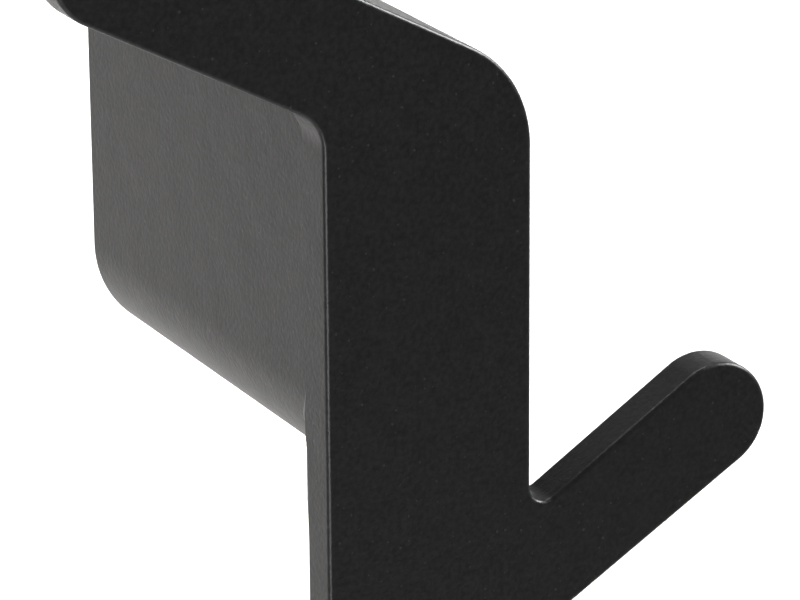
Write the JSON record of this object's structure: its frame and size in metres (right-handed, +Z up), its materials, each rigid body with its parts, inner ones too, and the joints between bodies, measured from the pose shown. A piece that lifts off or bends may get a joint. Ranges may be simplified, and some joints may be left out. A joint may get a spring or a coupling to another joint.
{
  "type": "wall hook for barrier ropes",
  "caption": "Flat black hook plate with a raised arm and a lower V hook, carried off the wall by a hollow welded shell over a concealed bracket.",
  "frame": {"origin": "on the wall face, midway between the two wall screw holes", "axes": "+Z up, +Y into the wall, +X to the right seen from the front"},
  "size_m": [0.0857, 0.06, 0.098],
  "materials": {
    "black_powder_coat": "satin powder coat with a fine orange peel",
    "zinc_plated_sheet": "bright zinc plate",
    "blackened_screw_steel": "black oxide"
  },
  "bodies": {
    "root": {"hook_plate": "black_powder_coat", "standoff_shell": "black_powder_coat", "seam_weld": "black_powder_coat", "front_weld": "black_powder_coat", "wall_bracket": "zinc_plated_sheet", "threaded_boss": "black_powder_coat", "grub_screw": "blackened_screw_steel"}
  },
  "joints": []
}
